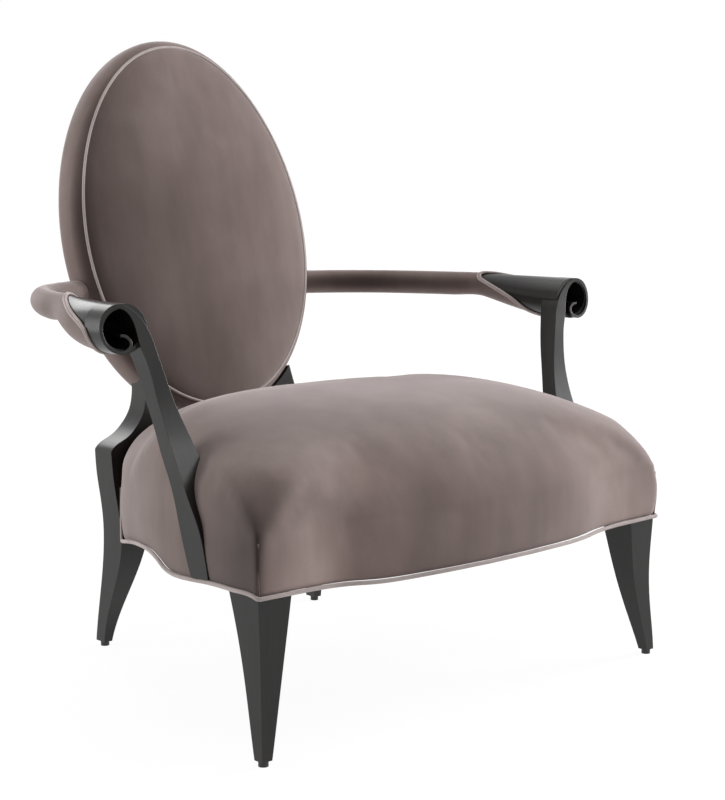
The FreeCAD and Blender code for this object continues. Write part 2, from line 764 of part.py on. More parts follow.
dowel_holes = dowels(joint_gap)
screw_holes = block_screws(joint_gap, overrun)
bolt_holes = post_bolts(joint_gap, overrun)
front_rail = ring.common(front_zone).cut(both_sides(dowel_holes + screw_holes))
rear_rail = ring.common(rear_zone).cut(both_sides(dowel_holes + screw_holes))
side_rail = clear_of(ring.common(side_zone), [post_stem, rear_leg_left], joint_gap)
side_rail = largest(side_rail.cut(dowel_holes + bolt_holes + screw_holes))
front_leg_left = front_leg_left.cut(dowel_holes).cut(screw_holes)
rear_leg_left = rear_leg_left.cut(dowel_holes).cut(screw_holes)
post_left = post_left.cut(bolt_holes)
inner_x = seat_half_width - rail_setback - rail_thickness
blocks = [
    corner_block(inner_x, seat_front_y + rail_setback + rail_thickness, -block_drop, block_leg),
    corner_block(leg_inner_x, seat_rear_y - rail_setback - rail_thickness, block_spread, -block_leg),
]
blocks = [largest(clear_of(block.cut([front_corner] + screw_holes), [rear_leg_left], joint_gap)) for block in blocks]

# Support and padding of the seat

web_base = rail_top
web_area = seat_prism(rail_joint_setback, web_base, web_base + web_thickness * 2)
webs = []
for row in range(web_count_across):
    y = web_first_y + row * web_pitch_y
    webs.append(box((-room, y, web_base), (room, y + web_width, web_base + web_thickness)).common(web_area))
for column in (-2, -1, 0, 1, 2):
    x = column * web_pitch_x - web_width / 2
    webs.append(box((x, -room, web_base + web_thickness), (x + web_width, room, web_base + web_thickness * 2)).common(web_area))
hessian_base = web_base + web_thickness * 2
left_side = box((0, -room, 0), (room, room, room))


def whole(half):
    """A piece from its left half."""
    return largest(half.fuse(mirrored(half)).removeSplitter())


hessian_area = Part.Face(seat_wire(hessian_base, rail_joint_setback)).extrude(up * hessian_thickness)
seat_hessian = whole(clear_of(hessian_area.common(left_side), [rear_leg_left], soft_gap))
foam_base = hessian_base + hessian_thickness + soft_gap
half_padding = seat_body(cloth + soft_gap).common(left_side)
above_foam_base = box((0, -room, foam_base), (room, room, room))
seat_foam = half_padding.common(above_foam_base).cut(back_clearance)
seat_foam = whole(largest(clear_of(seat_foam, uprights, soft_gap)))
edge = half_padding.cut(seat_prism(rail_setback - soft_gap, floor_level - overrun, rail_top + overrun))
edge = edge.common(box((0, -room, 0), (room, room, foam_base - soft_gap))).cut(below_apron(rail_lift))
leg_block = box((block_inner_x - soft_gap, front_leg_y + front_leg_inset - soft_gap, 0),
                (front_leg_x - front_leg_inset + soft_gap, block_rear_y + soft_gap, room))
edge = clear_of(edge.cut(leg_block), uprights, soft_gap)
edge_pads = [solid for solid in edge.Solids if solid.Volume > rail_thickness ** 3 / 8]
seat_shell = seat_body(0).common(left_side).cut(seat_body(cloth)).cut(below_apron(0)).cut(back_clearance)
seat_cover = whole(largest(clear_of(seat_shell, uprights, soft_gap)))
welt_ring = seat_prism(-welt_proud, floor_level - overrun, shoulder_height)
welt_ring = welt_ring.cut(seat_prism(-soft_gap, floor_level - overrun, shoulder_height))
welt_ring = welt_ring.common(apron_band(-welt_size / 2, welt_size / 2)).common(left_side)
seat_welt = clear_of(welt_ring, uprights, soft_gap)
seat_welt = whole(largest(seat_welt))
dust = apron_band(rail_lift - soft_gap - dust_thickness, rail_lift - soft_gap)
dust = dust.common(seat_prism(dust_setback, floor_level, rail_top)).common(left_side).cut(front_corner)
dust_cover = whole(largest(clear_of(dust, [rear_leg_left], soft_gap)))

# Back

frame_back = frame_front + frame_depth


def frame_bolt(gap=0, above=0):
    middle_x = stile_top_x - stile_width / 2
    base = back_centre + across * middle_x + back_up * bolt_rise + back_normal * bolt_depth
    return headed(base, back_up * -1, bolt_radius, bolt_length, bolt_head_radius, bolt_head_height, gap, above)


bolt_space = both_sides([frame_bolt(joint_gap, overrun)])
rear_leg_left = largest(rear_leg_left.cut(bolt_space))
back_frame = oval_ring(frame_outer, frame_inner, frame_front, frame_back)
back_frame = back_frame.cut(bolt_space).cut(both_sides([arm_screw_space]))
back_webs = []
for row in (-1, 0, 1):
    low = row * back_web_pitch - back_web_width / 2
    back_webs.append(back_slab(room / 2, low, low + back_web_width, frame_front - web_thickness, frame_front))
for column in (-1, 1):
    strip = back_slab(back_web_width / 2, -room / 2, room / 2, frame_front - web_thickness * 2, frame_front - web_thickness)
    back_webs.append(moved(strip, across * (column * back_web_pitch / 2)))
web_limit = oval_prism(0, -overrun, back_depth)
back_webs = [strip.common(web_limit) for strip in back_webs]
stile = [rear_leg_left.common(box((0, -room, rail_top), (room, room, room)))]
front_welt = oval_welt(0)
rear_welt = oval_welt(back_depth)
welt_clear = [oval_welt(0, soft_gap), oval_welt(back_depth, soft_gap)]
back_padding = back_body(cloth + soft_gap)
foam_back = frame_front - web_thickness * 2 - soft_gap
front_zone_of_back = between_depths(-room / 2, foam_back)
back_foam = back_padding.common(left_side).common(front_zone_of_back).cut(welt_clear)
back_foam = whole(largest(clear_of(back_foam, stile, soft_gap)))
edge_ring = back_padding.common(left_side).common(between_depths(foam_back + soft_gap, frame_back))
edge_ring = edge_ring.cut([oval_prism(frame_outer + soft_gap, -overrun, back_depth + overrun), core_space])
edge_ring = clear_of(edge_ring, stile, soft_gap)
back_edge_pads = both_sides([solid for solid in edge_ring.Solids if solid.Volume > rail_thickness ** 3 / 4])
back_panel = oval_prism(frame_outer - frame_front / 4, frame_back, frame_back + back_panel_thickness)
rear_pad = back_padding.common(left_side).common(
    between_depths(frame_back + back_panel_thickness + soft_gap, room / 2)).cut(welt_clear)
rear_pad = whole(largest(clear_of(rear_pad, stile, soft_gap)))
back_shell = back_solid.common(left_side).cut(back_body(cloth)).cut(welt_clear)
front_cover = whole(largest(back_shell.common(between_depths(-room / 2, 0))))
rear_cover = whole(largest(back_shell.common(between_depths(back_depth, room / 2))))
band = back_shell.common(between_depths(0, back_depth)).cut(core_space)
back_band = whole(largest(clear_of(band, stile, soft_gap)))

nodes = {
    "front_leg_left": front_leg_left,
    "front_leg_right": mirrored(front_leg_left),
    "rear_leg_left": rear_leg_left,
    "rear_leg_right": mirrored(rear_leg_left),
    "foot_glides": foot_glides,
    "glide_nails": glide_nails,
    "front_rail": front_rail,
    "rear_rail": rear_rail,
    "side_rail_left": side_rail,
    "side_rail_right": mirrored(side_rail),
    "rail_dowels": group(both_sides(dowels(0))),
    "corner_blocks": group(both_sides(blocks)),
    "corner_block_screws": group(both_sides(block_screws())),
    "arm_post_left": post_left,
    "arm_post_right": mirrored(post_left),
    "arm_post_bolts": group(both_sides(post_bolts())),
    "arm_core_left": arm_core,
    "arm_core_right": mirrored(arm_core),
    "arm_core_screws": group(both_sides([arm_screw])),
    "arm_foam_left": arm_foam,
    "arm_foam_right": mirrored(arm_foam),
    "arm_cover_left": arm_cover,
    "arm_cover_right": mirrored(arm_cover),
    "arm_welt_left": arm_welt,
    "arm_welt_right": mirrored(arm_welt),
    "seat_webbing": group(webs),
    "seat_hessian": seat_hessian,
    "seat_foam": seat_foam,
    "seat_edge_pads": group(both_sides(edge_pads)),
    "seat_cover": seat_cover,
    "seat_welt": seat_welt,
    "dust_cover": dust_cover,
    "back_frame": back_frame,
    "back_frame_bolts": group(both_sides([frame_bolt()])),
    "back_webbing": group(back_webs),
    "back_foam": back_foam,
    "back_edge_pads": group(back_edge_pads),
    "back_panel": back_panel,
    "back_rear_pad": rear_pad,
    "back_front_cover": front_cover,
    "back_outside_cover": rear_cover,
    "back_band": back_band,
    "back_front_welt": front_welt,
    "back_rear_welt": rear_welt,
}

low_y = min(shape.BoundBox.YMin for shape in nodes.values())
high_y = max(shape.BoundBox.YMax for shape in nodes.values())
centring = along * (-(low_y + high_y) / 2)
for name, shape in nodes.items():
    moved(shape, centring).exportStep("parts/" + name + ".step")
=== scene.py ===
"""Looks of an upholstered lounge armchair: velvet back, seat and arms, piping, and dark lacquered wood.

Metres. X runs to the sitter's left, Y to the back, Z up. Places are given with Y measured from the rear
glides, and placed() moves them into the frame of the chair.
"""
import math

import bpy
import numpy as np
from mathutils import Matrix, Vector


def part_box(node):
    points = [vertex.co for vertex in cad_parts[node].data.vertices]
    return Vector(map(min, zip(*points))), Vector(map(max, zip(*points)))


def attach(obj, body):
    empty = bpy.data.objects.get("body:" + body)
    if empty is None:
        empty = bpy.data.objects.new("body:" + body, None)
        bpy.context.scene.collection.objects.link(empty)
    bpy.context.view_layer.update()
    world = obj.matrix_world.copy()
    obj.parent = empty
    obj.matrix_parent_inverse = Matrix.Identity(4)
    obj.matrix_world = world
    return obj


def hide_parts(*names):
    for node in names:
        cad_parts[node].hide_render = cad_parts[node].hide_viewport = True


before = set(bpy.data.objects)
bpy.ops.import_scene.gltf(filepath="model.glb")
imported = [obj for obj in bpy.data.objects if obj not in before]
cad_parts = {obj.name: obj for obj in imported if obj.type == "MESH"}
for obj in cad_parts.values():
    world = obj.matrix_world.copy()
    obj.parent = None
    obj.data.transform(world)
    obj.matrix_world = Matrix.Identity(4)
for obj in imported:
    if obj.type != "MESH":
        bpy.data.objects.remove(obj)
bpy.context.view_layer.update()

BODY = "root"

# Seat outline and lower edge
seat_half_width = 0.439
seat_front_y = -0.682
seat_bow = 0.024
seat_side_y = -0.512
seat_side_x = 0.424
seat_bend_y = -0.290
seat_bend_x = 0.368
seat_rear_y = -0.014
seat_rear_x = 0.204
apron_height = 0.243
apron_drop = 0.053
shoulder_height = 0.334
crown_height = 0.479
side_run = 0.300
front_run = 0.300
rear_run = 0.365
corner_share = 0.009
shoulder_rounding = 0.025
seat_bulge = 0.003
seat_rings = 44
arc_points = 21
# share of the wall's height below the shoulder at each row
wall_shares = (0.08, 0.17, 0.26, 0.35, 0.44, 0.53, 0.62, 0.71, 0.79, 0.86, 0.91, 0.945, 0.97, 0.99, 1.0)
# the pinch above the piping, and how sharply it sets in
pinch = 0.0045
pinch_power = 24
hem = 0.005
# share of the front's half width, and of the bow
bow_shares = ((0.0, 1.0), (0.27, 0.895), (0.54, 0.58), (0.64, 0.28), (0.745, 0.1), (0.87, 0.045),
              (1.0, 0.0))
# share of the seat's length from front to rear, and of the apron's drop
apron_shares = ((-0.06, 0.22), (-0.036, 0.17), (0.0, 0.0), (0.1, -0.02), (0.19, 0.02), (0.263, 0.1),
                (0.312, 0.152), (0.36, 0.165), (0.4, 0.1), (0.433, -0.03), (0.485, -0.15), (0.53, -0.16),
                (0.565, -0.127), (0.624, -0.03), (0.697, 0.15), (0.767, 0.35), (0.841, 0.56), (0.916, 0.83),
                (1.0, 1.0), (1.1, 1.0))
# share of the crown's rise, then how far the sides, front and rear have drawn in, and the corners' rounding
crown_shares = (
    (0.0, 0.0, 0.0, 0.0, 0.025), (0.14, 0.01, 0.013, 0.0, 0.07), (0.29, 0.03, 0.037, 0.0, 0.125),
    (0.45, 0.067, 0.08, 0.006, 0.175), (0.585, 0.103, 0.133, 0.07, 0.22), (0.72, 0.16, 0.207, 0.205, 0.27),
    (0.823, 0.22, 0.3, 0.37, 0.33), (0.898, 0.3, 0.417, 0.534, 0.4), (0.952, 0.42, 0.573, 0.7, 0.47),
    (0.986, 0.6, 0.72, 0.8, 0.52), (1.0, 0.82, 0.85, 0.88, 0.56),
)
crown_bow_share = 0.8
# the crown's top is smoothed: how often, how far below the top and how much deeper behind
crown_smoothing = 60
smooth_depth = 0.07
smooth_depth_behind = 0.06
smooth_behind_y = -0.34
smooth_behind_run = 0.1
smooth_fade = 0.05
cap_lift = 0.0015
# the seat's cover is held below a height and behind a place, fading over a short run
seat_hold_height = 0.345
seat_hold_fade = 0.03
seat_hold_y = -0.12
seat_hold_run = 0.06
seat_pressure = 2.0
seat_swell = 0.006
piping_radius = 0.0032
piping_reach = 0.35
side_piping_radius = 0.0022
corner_seam_radius = 0.0014
corner_seam_top = 0.320
corner_seam_sunk = 0.0016

# Rear legs, where the side piping lies against them
leg_inner_x = 0.190
leg_front_y = -0.070
# height, then the leg's front edge
leg_edge = ((0.190, -0.0705), (0.230, -0.066), (0.256, -0.061), (0.297, -0.050), (0.352, -0.043))
side_piping_top = 0.290

# Oval back
back_y = 0.038
back_height = 0.738
back_half_width = 0.242
back_half_height = 0.330
back_egg = -0.052
back_tilt = math.radians(13.3)
back_depth = 0.070
back_bulge = 0.020
back_dome = 0.026
back_rear_dome = 0.006
back_piping_radius = 0.0026
back_rings = 40
# how the domes' rings close up towards the edge, and how round their edges are
dome_spacing = 1.35
dome_powers = (2.4, 0.55)
band_columns = 320
band_rows = 26
band_powers = (2.6, 0.58)
# the front pad's cover is held outside a share of the oval, fading over a short run
back_hold_share = 0.9
back_hold_run = 0.08
back_pressure = 1.5
back_swell = 0.005
back_piping_gap = 0.0008
back_piping_grow = 0.001

# Arms
arm_radius = 0.0208
arm_top = 0.6432
scroll_x = 0.496
scroll_z = 0.6045
scroll_radius = 0.0362
roll_stretch = 1.16
arm_sides = 48
arm_rows = 90
arm_cord_radius = 0.0021
# the middle line of the arm: x, y
arm_path = ((0.226, 0.055), (0.262, 0.042), (0.318, 0.012), (0.370, -0.035), (0.413, -0.105),
            (0.444, -0.180), (0.462, -0.245))
# share of the growth from the arm's radius to the roll's, at each y of the widening end
arm_growth = ((-0.270, 0.2), (-0.310, 0.53), (-0.350, 0.8), (-0.400, 0.97), (-0.440, 1.0))
# where the cloth meets the wood: top, outer and lower inner points
joint_points = ((0.462, -0.248, 0.643), (0.508, -0.340, 0.6113), (0.449, -0.388, 0.5585))
# how far forward the cloth laps over the wood: degrees round the arm from outside over the top, y
joint_laps = ((0, -0.408), (15, -0.390), (30, -0.357), (45, -0.320), (57, -0.292), (75, -0.268),
              (90, -0.256), (105, -0.250), (120, -0.248), (135, -0.250), (150, -0.259), (165, -0.281),
              (180, -0.307), (195, -0.331), (210, -0.346), (225, -0.357), (240, -0.371), (270, -0.402),
              (300, -0.412), (330, -0.414), (345, -0.412), (360, -0.408))
# degrees to either side over which the slant of the cloth's edge is measured
lap_step = 4
arm_cloth = 0.0014
arm_gap = 0.0015
# the turned-under edge: how deep in the wood, how far back, and how far its end is drawn in
arm_tuck = 0.0012
arm_tuck_gap = 0.0035
arm_end_share = 0.16
arm_cord_gaps = (0.0012, 0.0056)
arm_cord_lift = 0.0024
arm_cord_points = 160

# Lining
lining_inset = 0.008
lining_lift = 0.0045
lining_front_gap = 0.02
lining_rear_gap = 0.001
lining_cells = 60

# Camera and light
camera_place = (-1.847, -2.453, 0.812)
camera_heading = math.radians(42.13)
camera_dip = math.radians(7.36)
camera_lens = 75.42
floor_reach = 14.0
floor_glow = 1.045
# the floor's own glow takes over between two distances from the middle of the chair
floor_fade = (0.8, 1.6)
floor_shares = (0.9, 1.0)
soft_light = 0.36
# name, place, target, size, power and colour
lamps = (
    ("top", (0.2, -0.2, 3.0), (0, 0, 0.4), (2.4, 2.0), 18, (1.0, 1.0, 1.0)),
    ("left", (-2.6, 1.6, 1.0), (0, 0.1, 0.5), (1.8, 1.8), 37, (1.0, 1.0, 1.0)),
    ("behind", (0.5, 2.8, 2.4), (0, 0, 0.5), (2.0, 1.6), 26, (1.0, 1.0, 1.0)),
    ("front", (1.15, -1.95, 2.15), (-0.4, -0.25, 0.4), (0.7, 0.7), 10, (1.0, 1.0, 1.0)),
    ("right", (3.2, -0.8, 1.3), (0.2, 0, 0.45), (1.2, 1.8), 105, (0.96, 0.98, 1.0)),
)

glide_radius = 0.0075
shift_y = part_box("foot_glides")[1][1] - glide_radius


def placed(points):
    """Points measured from the rear glides, moved into the frame of the chair."""
    return np.asarray(points, float) + np.array([0, shift_y, 0])


def values(table, where):
    """Smooth values at the given places, from rows of a place and its values."""
    table = np.array(table, float)
    at, rows = table[:, 0], table[:, 1:]
    where = np.clip(np.asarray(where, float), at[0], at[-1])
    slopes = np.gradient(rows, at, axis=0)
    index = np.clip(np.searchsorted(at, where, side="right") - 1, 0, len(at) - 2)
    span = (at[index + 1] - at[index])[..., None]
    t = (where - at[index])[..., None] / span
    start = (1 + 2 * t) * (1 - t) ** 2 * rows[index] + t * (1 - t) ** 2 * span * slopes[index]
    return start + t * t * (3 - 2 * t) * rows[index + 1] + t * t * (t - 1) * span * slopes[index + 1]


def lengths(points):
    return np.concatenate([[0], np.cumsum(np.linalg.norm(np.diff(points, axis=0), axis=1))])


def even(points, count):
    """The same line with evenly spaced points."""
    points = np.asarray(points, float)
    at = lengths(points)
    where = np.linspace(0, at[-1], count)
    return np.stack([np.interp(where, at, points[:, i]) for i in range(points.shape[1])], 1)


def arc_through(first, middle, last, count):
    """Points on the circle through three points."""
    (ax, ay), (bx, by), (cx, cy) = first, middle, last
    d = 2 * (ax * (by - cy) + bx * (cy - ay) + cx * (ay - by))
    a, b, c = ax * ax + ay * ay, bx * bx + by * by, cx * cx + cy * cy
    ux = (a * (by - cy) + b * (cy - ay) + c * (ay - by)) / d
    uy = (a * (cx - bx) + b * (ax - cx) + c * (bx - ax)) / d
    angles = np.unwrap([math.atan2(y - uy, x - ux) for x, y in (first, middle, last)])
    radius = math.hypot(ax - ux, ay - uy)
    turn = np.linspace(angles[0], angles[2], count)
    return np.stack([ux + radius * np.cos(turn), uy + radius * np.sin(turn)], 1)


def make_piece(name, points, faces, material, replaced=()):
    """A mesh object that rides with the chair, in its frame."""
    mesh = bpy.data.meshes.new(name)
    places = [tuple(point) for point in np.asarray(points, float)]
    mesh.from_pydata(places, [], [tuple(map(int, face)) for face in faces])
    mesh.validate()
    mesh.polygons.foreach_set("use_smooth", [True] * len(mesh.polygons))
    mesh.materials.append(material)
    piece = bpy.data.objects.new(name, mesh)
    bpy.context.collection.objects.link(piece)
    finish_piece(piece, replaced)
    return piece


def finish_piece(piece, replaced=()):
    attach(piece, BODY)
    if replaced:
        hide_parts(*replaced)


def turned_over(faces):
    return [tuple(reversed(face)) for face in faces]


def grid_faces(size):
    """Quads of a square grid of points."""
    faces = []
    for i in range(size - 1):
        for j in range(size - 1):
            a = i * size + j
            faces.append((a, a + size, a + size + 1, a + 1))
    return faces


def strip_faces(rows, columns, closed):
    """Quads of a grid of points, whose columns may join up."""
    faces = []
    for r in range(rows - 1):
        for c in range(columns if closed else columns - 1):
            n = (c + 1) % columns
            faces.append((r * columns + c, r * columns + n, (r + 1) * columns + n, (r + 1) * columns + c))
    return faces


def tube(points, radius, sides=12, closed=False):
    """Points and quads of a round cord along a line."""
    points = np.asarray(points, float)
    ahead = np.roll(points, -1, 0) - np.roll(points, 1, 0)
    if not closed:
        ahead[0] = points[1] - points[0]
        ahead[-1] = points[-1] - points[-2]
    ahead /= np.linalg.norm(ahead, axis=1)[:, None]
    side = np.cross(ahead[0], (0.0, 0.0, 1.0))
    if np.linalg.norm(side) < 0.1:
        side = np.cross(ahead[0], (0.0, 1.0, 0.0))
    rings = []
    for point, way in zip(points, ahead):
        side = side - way * side.dot(way)
        side /= np.linalg.norm(side)
        up = np.cross(side, way)
        turns = np.arange(sides) * 2 * math.pi / sides
        rings.append(point + radius * (np.cos(turns)[:, None] * side + np.sin(turns)[:, None] * up))
    faces = strip_faces(len(rings), sides, True)
    if closed:
        last = (len(rings) - 1) * sides
        offset = int(np.argmin(np.linalg.norm(rings[0] - rings[-1][0], axis=1)))
        faces += [(last + c, last + (c + 1) % sides, (c + 1 + offset) % sides, (c + offset) % sides)
                  for c in range(sides)]
    else:
        faces.append(tuple(range(sides)))
        faces.append(tuple(reversed(range((len(rings) - 1) * sides, len(rings) * sides))))
    return np.concatenate(rings), faces


def joined(parts):
    """One set of points and faces from several."""
    points, faces, count = [], [], 0
    for more_points, more_faces in parts:
        points.append(np.asarray(more_points, float))
        faces += [tuple(i + count for i in face) for face in more_faces]
        count += len(more_points)
    return np.concatenate(points), faces


# Materials

def nodes_of(name):
    material = bpy.data.materials.new(name)
    material.use_nodes = True
    tree = material.node_tree
    return material, tree, tree.nodes["Principled BSDF"]


def add(tree, kind, **inputs):
    node = tree.nodes.new(kind)
    for key, value in inputs.items():
        node.inputs[key.replace("_", " ")].default_value = value
    return node


def maths(tree, operation, *inputs, kind="ShaderNodeMath"):
    """A number or vector node, with each input a value or another node's output."""
    node = tree.nodes.new(kind)
    node.operation = operation
    for socket, value in zip(node.inputs, inputs):
        if isinstance(value, (int, float, tuple)):
            socket.default_value = value
        else:
            tree.links.new(value, socket)
    return node


def noise(tree, place, scale, detail=2.0, roughness=0.5, distortion=0.0):
    node = add(tree, "ShaderNodeTexNoise", Scale=scale, Detail=detail, Roughness=roughness,
               Distortion=distortion)
    tree.links.new(place, node.inputs["Vector"])
    return node.outputs["Fac"]


def stretched(tree, scale=(1.0, 1.0, 1.0)):
    """Places on the object, packed closer by the scale."""
    coordinates = tree.nodes.new("ShaderNodeTexCoord")
    mapping = add(tree, "ShaderNodeMapping", Scale=scale)
    tree.links.new(coordinates.outputs["Object"], mapping.inputs["Vector"])
    return mapping.outputs["Vector"]


def grey(level):
    return (level, level, level)


def ramp(tree, factor, stops):
    node = tree.nodes.new("ShaderNodeValToRGB")
    elements = node.color_ramp.elements
    while len(elements) < len(stops):
        elements.new(0.5)
    for element, (place, colour) in zip(elements, stops):
        element.position = place
        element.color = (*colour, 1.0)
    tree.links.new(factor, node.inputs["Fac"])
    return node.outputs["Color"]


def mix(tree, factor, first, second, blend="MIX"):
    node = tree.nodes.new("ShaderNodeMix")
    node.data_type = "RGBA"
    node.blend_type = blend
    for socket, value in (("Factor", factor), ("A", first), ("B", second)):
        kind = "VALUE" if socket == "Factor" else "RGBA"
        target = next(s for s in node.inputs if s.name == socket and s.enabled and s.type == kind)
        if isinstance(value, (int, float)):
            target.default_value = value
        elif isinstance(value, tuple):
            target.default_value = (*value, 1.0)
        else:
            tree.links.new(value, target)
    return next(s for s in node.outputs if s.enabled and s.type == "RGBA")


def bump(tree, height, strength, distance, normal=None):
    node = add(tree, "ShaderNodeBump", Strength=strength, Distance=distance)
    tree.links.new(height, node.inputs["Height"])
    if normal is not None:
        tree.links.new(normal, node.inputs["Normal"])
    return node.outputs["Normal"]


def painted_light_patch(tree, colour, centre, reach, factor, side_face):
    """Paints a soft-edged patch of light or shade, mirrored to both sides of the chair, on the side faces or
    on the front faces as the surface's normal picks them.
    """
    place = stretched(tree)
    wobble = add(tree, "ShaderNodeTexNoise", Scale=9.0, Detail=3.0)
    tree.links.new(place, wobble.inputs["Vector"])
    vector = "ShaderNodeVectorMath"
    mirrored = maths(tree, "ABSOLUTE", place, kind=vector)
    moved = maths(tree, "MULTIPLY_ADD", wobble.outputs["Color"], grey(patch_wobble), mirrored.outputs[0],
                  kind=vector)
    half = patch_wobble / 2
    middle = (centre[0] + half, abs(centre[1] + shift_y) + half, centre[2] + half)
    away = maths(tree, "DISTANCE", moved.outputs[0], middle, kind=vector)
    scaled = maths(tree, "DIVIDE", away.outputs["Value"], reach)
    shade = ramp(tree, scaled.outputs[0], ((0.2, grey(factor)), (1.0, grey(1.0))))
    surface = tree.nodes.new("ShaderNodeNewGeometry")
    way = tree.nodes.new("ShaderNodeSeparateXYZ")
    tree.links.new(surface.outputs["Normal"], way.inputs[0])
    across = maths(tree, "ABSOLUTE", way.outputs["X"])
    off, on = grey(0.0), grey(1.0)
    stops = ((0.5, off), (0.8, on)) if side_face else ((0.3, on), (0.75, off))
    shaded = mix(tree, 1.0, colour, shade, "MULTIPLY")
    return mix(tree, ramp(tree, across.outputs[0], stops), colour, shaded)


def velvet(name, dark, middle, light, sheen, painted_sheen, light_and_shade_patches=()):
    """Cut velvet: soft patches where it leans and fine fibres; a painted sheen that darkens the colour where
    the surface faces the view and lightens it where it is seen edge-on; and painted patches of light and
    shade where given.
    """
    material, tree, shader = nodes_of(name)
    patches = noise(tree, stretched(tree, (1.0, 1.0, 0.7)), 4.5, detail=3.0, roughness=0.55,
                    distortion=0.35)
    brushed = noise(tree, stretched(tree, (17.0, 17.0, 3.5)), 1.0, detail=5.0, roughness=0.6)
    fibres = noise(tree, stretched(tree), 1500.0, roughness=0.7)
    colour = ramp(tree, patches, ((0.3, dark), (0.52, middle), (0.74, light)))
    streaks = ramp(tree, brushed, ((0.3, grey(0.86)), (0.7, grey(1.1))))
    colour = mix(tree, 1.0, colour, streaks, "MULTIPLY")
    grain = ramp(tree, fibres, ((0.3, grey(0.78)), (0.7, grey(1.18))))
    colour = mix(tree, 0.6, colour, grain, "MULTIPLY")
    # painted sheen: the colour is darker where the surface faces the view and lighter towards edge-on
    view_facing = add(tree, "ShaderNodeLayerWeight", Blend=0.5)
    painted_sheen_shades = ramp(tree, view_facing.outputs["Facing"], tuple(zip(painted_sheen_stops, painted_sheen)))
    colour = mix(tree, 1.0, colour, painted_sheen_shades, "MULTIPLY")
    # painted patches of light and shade
    for centre, reach, factor, side_face in light_and_shade_patches:
        colour = painted_light_patch(tree, colour, centre, reach, factor, side_face)
    tree.links.new(colour, shader.inputs["Base Color"])
    shader.inputs["Roughness"].default_value = 0.9
    shader.inputs["Specular IOR Level"].default_value = 0.15
    shader.inputs["Sheen Weight"].default_value = sheen
    shader.inputs["Sheen Roughness"].default_value = 0.45
    shader.inputs["Sheen Tint"].default_value = (1.0, 0.89, 0.88, 1.0)
    normal = bump(tree, brushed, 0.12, 0.0012)
    normal = bump(tree, fibres, 0.25, 0.0003, normal)
    tree.links.new(normal, shader.inputs["Normal"])
    return material


def lacquered_wood(name, dark, light, grain_scale):
    """Near-black stained wood under a satin lacquer; the grain barely shows."""
    material, tree, shader = nodes_of(name)
    grain = noise(tree, stretched(tree, grain_scale), 1.0, detail=6.0, roughness=0.62, distortion=0.6)
    clouds = noise(tree, stretched(tree), 9.0)
    colour = ramp(tree, grain, ((0.35, dark), (0.7, light)))
    tree.links.new(colour, shader.inputs["Base Color"])
    rough = ramp(tree, clouds, ((0.3, grey(0.26)), (0.7, grey(0.36))))
    tree.links.new(rough, shader.inputs["Roughness"])
    shader.inputs["Specular IOR Level"].default_value = 0.3
    shader.inputs["Coat Weight"].default_value = 0.12
    shader.inputs["Coat Roughness"].default_value = 0.2
    softened = add(tree, "ShaderNodeBevel", Radius=0.0011)
    tree.links.new(bump(tree, grain, 0.1, 0.0004, softened.outputs["Normal"]), shader.inputs["Normal"])
    return material


def plain_material(name, dark, light, scale, roughness, metallic=0.0):
    """A small-scale mottled finish for the lining, the glides, the screws and the hidden wood."""
    material, tree, shader = nodes_of(name)
    speckle = noise(tree, stretched(tree, scale), 1.0, detail=4.0, roughness=0.6)
    tree.links.new(ramp(tree, speckle, ((0.3, dark), (0.7, light))), shader.inputs["Base Color"])
    shader.inputs["Roughness"].default_value = roughness
    shader.inputs["Metallic"].default_value = metallic
    tree.links.new(bump(tree, speckle, 0.2, 0.0003), shader.inputs["Normal"])
    return material


# painted sheen: factors on the colour, from a surface that faces the view, which is darkened, to one seen
# edge-on
painted_sheen_stops = (0.0, 0.28, 0.5, 0.85)
deep_painted_sheen = ((0.36, 0.35, 0.34), (1.0, 0.99, 0.98), (0.98, 0.98, 0.98), (0.84, 0.85, 0.85))
short_painted_sheen = (grey(0.86), grey(0.93), grey(0.97), grey(1.0))
# painted light and shade on the seat, mirrored to both sides: place, reach, how much lighter or darker, and
# if on the side faces
patch_wobble = 0.07
# painted shade on the side faces at the front corners, painted light on the front face near the corners
seat_light_and_shade_patches = (
    ((0.43, -0.66, 0.26), 0.20, 0.34, True), ((0.36, -0.70, 0.25), 0.13, 1.6, False),
    ((0.27, -0.68, 0.34), 0.13, 1.45, False),
)
VELVET = velvet("velvet", (0.158, 0.115, 0.104), (0.205, 0.155, 0.142), (0.262, 0.206, 0.190), 0.6,
                deep_painted_sheen, seat_light_and_shade_patches)
# the cords are the same velvet as the cover, painted nearly three times lighter as a painted sheen
PIPING_PAINTED_SHEEN = velvet("piping_velvet_painted_sheen", (0.44, 0.38, 0.36), (0.52, 0.45, 0.43), (0.58, 0.51, 0.49), 0.25,
                short_painted_sheen)
DARK_WOOD = lacquered_wood("espresso_wood", (0.006, 0.005, 0.0045), (0.012, 0.0095, 0.0085),
                           (70.0, 70.0, 6.0))
RAW_WOOD = plain_material("raw_wood", (0.36, 0.23, 0.12), (0.52, 0.36, 0.20), (60.0, 60.0, 6.0), 0.7)
LINING = plain_material("lining", (0.012, 0.012, 0.013), (0.03, 0.03, 0.032), grey(800.0), 0.9)
GLIDE = plain_material("glide_plastic", grey(0.008), grey(0.016), grey(300.0), 0.45)
STEEL = plain_material("steel", (0.45, 0.45, 0.46), (0.60, 0.60, 0.61), grey(500.0), 0.35, 1.0)

# the finish of the CAD nodes that stay in sight, or may be seen from below; the others are raw wood
node_finishes = (
    (DARK_WOOD, ("front_leg_left", "front_leg_right", "rear_leg_left", "rear_leg_right", "arm_post_left",
                 "arm_post_right")),
    (STEEL, ("glide_nails", "corner_block_screws", "arm_post_bolts", "arm_core_screws", "back_frame_bolts")),
    (GLIDE, ("foot_glides",)),
)


# Seat

